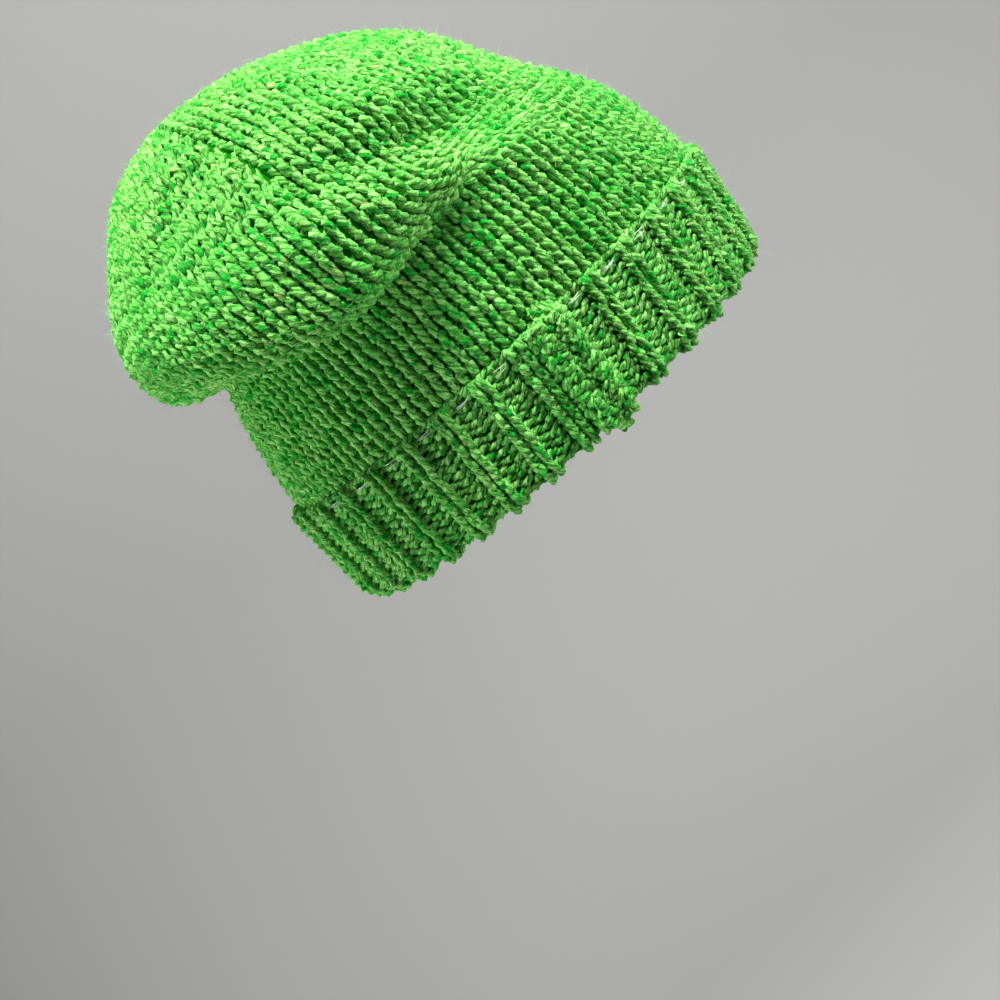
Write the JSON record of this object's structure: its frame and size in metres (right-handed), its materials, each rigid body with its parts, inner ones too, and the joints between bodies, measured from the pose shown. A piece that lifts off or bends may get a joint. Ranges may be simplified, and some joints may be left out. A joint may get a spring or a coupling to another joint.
{
  "type": "knit beanie",
  "caption": "Slouchy bulky-knit beanie with a turned-up ribbed brim that folds down, elastic thread in its edge and a slouch that lifts.",
  "frame": {"origin": "centre of the head opening, on the plane of the brim's fold", "axes": "+Z from the opening towards the crown, +X towards the wearer's forehead, +Y to the wearer's left"},
  "size_m": [0.2205, 0.2124, 0.1923],
  "materials": {
    "rib_yarn": "bulky tweed yarn in knit-one purl-one rib, matt and hairy",
    "body_yarn": "bulky tweed yarn in stockinette, matt and hairy, with emerald and cream flecks",
    "crown_yarn": "bulky tweed yarn in stockinette with decreases, matt and hairy",
    "seam_yarn": "the same yarn, gathered in a sewn seam",
    "elastic": "clear round elastic thread, glossy"
  },
  "bodies": {
    "hat_body": {"inner_band": "rib_yarn", "body_tube": "body_yarn", "body_seam": "seam_yarn"},
    "slouch": {"slouch_underside": "body_yarn", "slouch_band": "body_yarn", "slouch_seam": "seam_yarn", "crown_gore_1": "crown_yarn", "crown_gore_2": "crown_yarn", "crown_gore_3": "crown_yarn", "crown_gore_4": "crown_yarn", "crown_gore_5": "crown_yarn", "crown_gore_6": "crown_yarn", "crown_gather": "seam_yarn"},
    "cuff_1": {"cuff_panel_1": "rib_yarn", "elastic_1": "elastic", "cuff_seam_welt": "seam_yarn"},
    "cuff_2": {"cuff_panel_2": "rib_yarn", "elastic_2": "elastic"},
    "cuff_3": {"cuff_panel_3": "rib_yarn", "elastic_3": "elastic"},
    "cuff_4": {"cuff_panel_4": "rib_yarn", "elastic_4": "elastic"},
    "cuff_5": {"cuff_panel_5": "rib_yarn", "elastic_5": "elastic"},
    "cuff_6": {"cuff_panel_6": "rib_yarn", "elastic_6": "elastic"},
    "cuff_7": {"cuff_panel_7": "rib_yarn", "elastic_7": "elastic"},
    "cuff_8": {"cuff_panel_8": "rib_yarn", "elastic_8": "elastic"},
    "cuff_9": {"cuff_panel_9": "rib_yarn", "elastic_9": "elastic"},
    "cuff_10": {"cuff_panel_10": "rib_yarn", "elastic_10": "elastic"},
    "cuff_11": {"cuff_panel_11": "rib_yarn", "elastic_11": "elastic"},
    "cuff_12": {"cuff_panel_12": "rib_yarn", "elastic_12": "elastic"},
    "cuff_13": {"cuff_panel_13": "rib_yarn", "elastic_13": "elastic"},
    "cuff_14": {"cuff_panel_14": "rib_yarn", "elastic_14": "elastic"},
    "cuff_15": {"cuff_panel_15": "rib_yarn", "elastic_15": "elastic"},
    "cuff_16": {"cuff_panel_16": "rib_yarn", "elastic_16": "elastic"},
    "cuff_17": {"cuff_panel_17": "rib_yarn", "elastic_17": "elastic"}
  },
  "joints": [
    {"name": "slouch_lift", "type": "hinge", "parent": "hat_body", "child": "slouch", "pos_m": [0.08, 0, 0.115], "axis": [0, 1, 0], "range_deg": [0, 10]},
    {"name": "cuff_turn_1", "type": "hinge", "parent": "hat_body", "child": "cuff_1", "pos_m": [0.01762, -0.0842, 0], "axis": [0.9891, 0.1469, 0], "range_deg": [0, 174]},
    {"name": "cuff_turn_2", "type": "hinge", "parent": "hat_body", "child": "cuff_2", "pos_m": [0.05067, -0.07408, 0], "axis": [0.8996, 0.4366, 0], "range_deg": [0, 174]},
    {"name": "cuff_turn_3", "type": "hinge", "parent": "hat_body", "child": "cuff_3", "pos_m": [0.07866, -0.05404, 0], "axis": [0.6956, 0.7184, 0], "range_deg": [0, 174]},
    {"name": "cuff_turn_4", "type": "hinge", "parent": "hat_body", "child": "cuff_4", "pos_m": [0.09706, -0.025, 0], "axis": [0.3412, 0.94, 0], "range_deg": [0, 174]},
    {"name": "cuff_turn_5", "type": "hinge", "parent": "hat_body", "child": "cuff_5", "pos_m": [0.10093, 0.00901, 0], "axis": [-0.1248, 0.9922, 0], "range_deg": [0, 174]},
    {"name": "cuff_turn_6", "type": "hinge", "parent": "hat_body", "child": "cuff_6", "pos_m": [0.08894, 0.04119, 0], "axis": [-0.5465, 0.8374, 0], "range_deg": [0, 174]},
    {"name": "cuff_turn_7", "type": "hinge", "parent": "hat_body", "child": "cuff_7", "pos_m": [0.06484, 0.06578, 0], "axis": [-0.8195, 0.5731, 0], "range_deg": [0, 174]},
    {"name": "cuff_turn_8", "type": "hinge", "parent": "hat_body", "child": "cuff_8", "pos_m": [0.03371, 0.08065, 0], "axis": [-0.9587, 0.2844, 0], "range_deg": [0, 174]},
    {"name": "cuff_turn_9", "type": "hinge", "parent": "hat_body", "child": "cuff_9", "pos_m": [-0.00044, 0.0855, 0], "axis": [-1, -0.0037, 0], "range_deg": [0, 174]},
    {"name": "cuff_turn_10", "type": "hinge", "parent": "hat_body", "child": "cuff_10", "pos_m": [-0.03455, 0.08039, 0], "axis": [-0.9565, -0.2917, 0], "range_deg": [0, 174]},
    {"name": "cuff_turn_11", "type": "hinge", "parent": "hat_body", "child": "cuff_11", "pos_m": [-0.06551, 0.06531, 0], "axis": [-0.8147, -0.5799, 0], "range_deg": [0, 174]},
    {"name": "cuff_turn_12", "type": "hinge", "parent": "hat_body", "child": "cuff_12", "pos_m": [-0.08937, 0.04054, 0], "axis": [-0.5386, -0.8426, 0], "range_deg": [0, 174]},
    {"name": "cuff_turn_13", "type": "hinge", "parent": "hat_body", "child": "cuff_13", "pos_m": [-0.10103, 0.00819, 0], "axis": [-0.1136, -0.9935, 0], "range_deg": [0, 174]},
    {"name": "cuff_turn_14", "type": "hinge", "parent": "hat_body", "child": "cuff_14", "pos_m": [-0.09678, -0.02578, 0], "axis": [0.3515, -0.9362, 0], "range_deg": [0, 174]},
    {"name": "cuff_turn_15", "type": "hinge", "parent": "hat_body", "child": "cuff_15", "pos_m": [-0.07804, -0.05467, 0], "axis": [0.7026, -0.7116, 0], "range_deg": [0, 174]},
    {"name": "cuff_turn_16", "type": "hinge", "parent": "hat_body", "child": "cuff_16", "pos_m": [-0.0499, -0.07445, 0], "axis": [0.9031, -0.4295, 0], "range_deg": [0, 174]},
    {"name": "cuff_turn_17", "type": "hinge", "parent": "hat_body", "child": "cuff_17", "pos_m": [-0.01684, -0.08432, 0], "axis": [0.9901, -0.1403, 0], "range_deg": [0, 174]}
  ],
  "couplings": [
    {"joint": "cuff_turn_2", "follows": "cuff_turn_1", "ratio": 1},
    {"joint": "cuff_turn_3", "follows": "cuff_turn_1", "ratio": 1},
    {"joint": "cuff_turn_4", "follows": "cuff_turn_1", "ratio": 1},
    {"joint": "cuff_turn_5", "follows": "cuff_turn_1", "ratio": 1},
    {"joint": "cuff_turn_6", "follows": "cuff_turn_1", "ratio": 1},
    {"joint": "cuff_turn_7", "follows": "cuff_turn_1", "ratio": 1},
    {"joint": "cuff_turn_8", "follows": "cuff_turn_1", "ratio": 1},
    {"joint": "cuff_turn_9", "follows": "cuff_turn_1", "ratio": 1},
    {"joint": "cuff_turn_10", "follows": "cuff_turn_1", "ratio": 1},
    {"joint": "cuff_turn_11", "follows": "cuff_turn_1", "ratio": 1},
    {"joint": "cuff_turn_12", "follows": "cuff_turn_1", "ratio": 1},
    {"joint": "cuff_turn_13", "follows": "cuff_turn_1", "ratio": 1},
    {"joint": "cuff_turn_14", "follows": "cuff_turn_1", "ratio": 1},
    {"joint": "cuff_turn_15", "follows": "cuff_turn_1", "ratio": 1},
    {"joint": "cuff_turn_16", "follows": "cuff_turn_1", "ratio": 1},
    {"joint": "cuff_turn_17", "follows": "cuff_turn_1", "ratio": 1}
  ]
}
